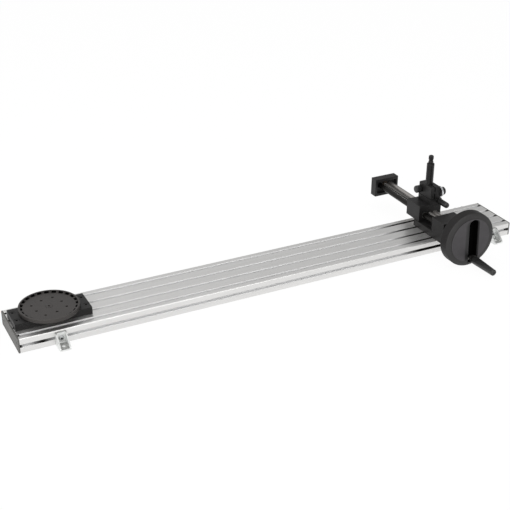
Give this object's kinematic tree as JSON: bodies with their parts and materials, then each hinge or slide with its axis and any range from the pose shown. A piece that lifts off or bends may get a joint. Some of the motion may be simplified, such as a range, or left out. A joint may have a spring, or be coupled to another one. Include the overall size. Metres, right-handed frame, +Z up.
{
  "type": "camera slider",
  "caption": "Slotted aluminium rail with a turntable at one end and a rail carriage whose crank-driven cross-slide carries a clamped upright camera post.",
  "frame": {"origin": "centre of the rail's underside", "axes": "+X along the rail towards the carriage end, +Z up, the handwheel faces -Y"},
  "size_m": [1.5, 0.558, 0.256],
  "materials": {
    "black": "black anodised, satin",
    "bronze": "machined",
    "cap": "matte",
    "casting": "cast, satin",
    "dark_steel": "blackened",
    "disc": "dark anodised, satin",
    "grip": "smooth satin",
    "liner": "natural polymer",
    "plastic": "fine texture",
    "rail": "satin natural anodised",
    "shaft": "ground",
    "steel": "ground",
    "zinc": "bright zinc"
  },
  "bodies": {
    "rail_base": {"rail": "rail", "end_cap_left": "cap", "end_cap_right": "cap", "bracket_left_front": "casting", "bracket_left_back": "casting", "bracket_right_front": "casting", "bracket_right_back": "casting", "bracket_bolt_left_front": "zinc", "bracket_bolt_left_back": "zinc", "bracket_bolt_right_front": "zinc", "bracket_bolt_right_back": "zinc", "bracket_tnut_left_front": "zinc", "bracket_tnut_left_back": "zinc", "bracket_tnut_right_front": "zinc", "bracket_tnut_right_back": "zinc", "turntable_base": "black", "turntable_screw_1": "dark_steel", "turntable_screw_2": "dark_steel", "turntable_screw_3": "dark_steel", "turntable_screw_4": "dark_steel", "turntable_tnut_1": "zinc", "turntable_tnut_2": "zinc", "turntable_tnut_3": "zinc", "turntable_tnut_4": "zinc", "turntable_race": "liner"},
    "turntable": {"turntable_disc": "disc", "turntable_pivot": "disc"},
    "carriage": {"carriage_plate": "black", "carriage_glide_1": "liner", "carriage_glide_2": "liner", "carriage_screw_1": "dark_steel", "carriage_screw_2": "dark_steel", "carriage_screw_3": "dark_steel", "carriage_screw_4": "dark_steel", "front_support": "black", "end_support": "black", "guide_shaft_left": "dark_steel", "guide_shaft_right": "shaft", "screw_bearing": "steel", "screw_end_bush": "bronze"},
    "handwheel": {"lead_screw": "steel", "wheel_hub": "black", "handwheel": "plastic", "crank_pin": "steel"},
    "crank": {"crank_arm": "dark_steel"},
    "grip": {"crank_grip": "grip"},
    "cross_slide": {"slide_block": "black", "bush_left_front": "liner", "bush_left_back": "liner", "bush_right_front": "liner", "bush_right_back": "liner", "screw_nut": "bronze", "clamp_riser": "black", "clamp_block": "black", "clamp_washer": "zinc"},
    "front_knob": {"clamp_front_knob": "grip"},
    "rear_knob": {"clamp_rear_knob": "grip"},
    "lock_grip": {"slide_lock_grip": "grip"},
    "post": {"post": "dark_steel", "post_spigot": "dark_steel"}
  },
  "joints": [
    {"name": "turntable_spin", "type": "hinge", "parent": "rail_base", "child": "turntable", "pos_m": [-0.644, 0, 0.06], "axis": [0, 0, 1], "continuous": true},
    {"name": "carriage_slide", "type": "slide", "parent": "rail_base", "child": "carriage", "axis": [1, 0, 0], "range_m": [-1.02, 0.185]},
    {"name": "cross_slide", "type": "slide", "parent": "carriage", "child": "cross_slide", "axis": [0, 1, 0], "range_m": [-0.06, 0.165]},
    {"name": "handwheel_turn", "type": "hinge", "parent": "carriage", "child": "handwheel", "pos_m": [0.52, -0.1, 0.081], "axis": [0, 1, 0], "range_deg": [-5420, 14870]},
    {"name": "crank_fold", "type": "hinge", "parent": "handwheel", "child": "crank", "pos_m": [0.53419, -0.183, 0.01956], "axis": [-0.999, 0, -0.0436], "range_deg": [0, 90]},
    {"name": "grip_spin", "type": "hinge", "parent": "crank", "child": "grip", "pos_m": [0.53419, -0.24, 0.01956], "axis": [0, 1, 0], "continuous": true},
    {"name": "post_height", "type": "slide", "parent": "cross_slide", "child": "post", "axis": [0, 0, 1], "range_m": [0, 0.035]},
    {"name": "front_knob_turn", "type": "hinge", "parent": "cross_slide", "child": "front_knob", "pos_m": [0.555, 0.008, 0.147], "axis": [1, 0, 0], "range_deg": [-180, 360]},
    {"name": "rear_knob_turn", "type": "hinge", "parent": "cross_slide", "child": "rear_knob", "pos_m": [0.507, 0.057, 0.144], "axis": [1, 0, 0], "range_deg": [-180, 360]},
    {"name": "lock_grip_turn", "type": "hinge", "parent": "cross_slide", "child": "lock_grip", "pos_m": [0.545, -0.02, 0.1195], "axis": [0, 1, 0], "range_deg": [-180, 360]}
  ],
  "couplings": [
    {"joint": "handwheel_turn", "follows": "cross_slide", "rad_per_m": 1570.8}
  ]
}
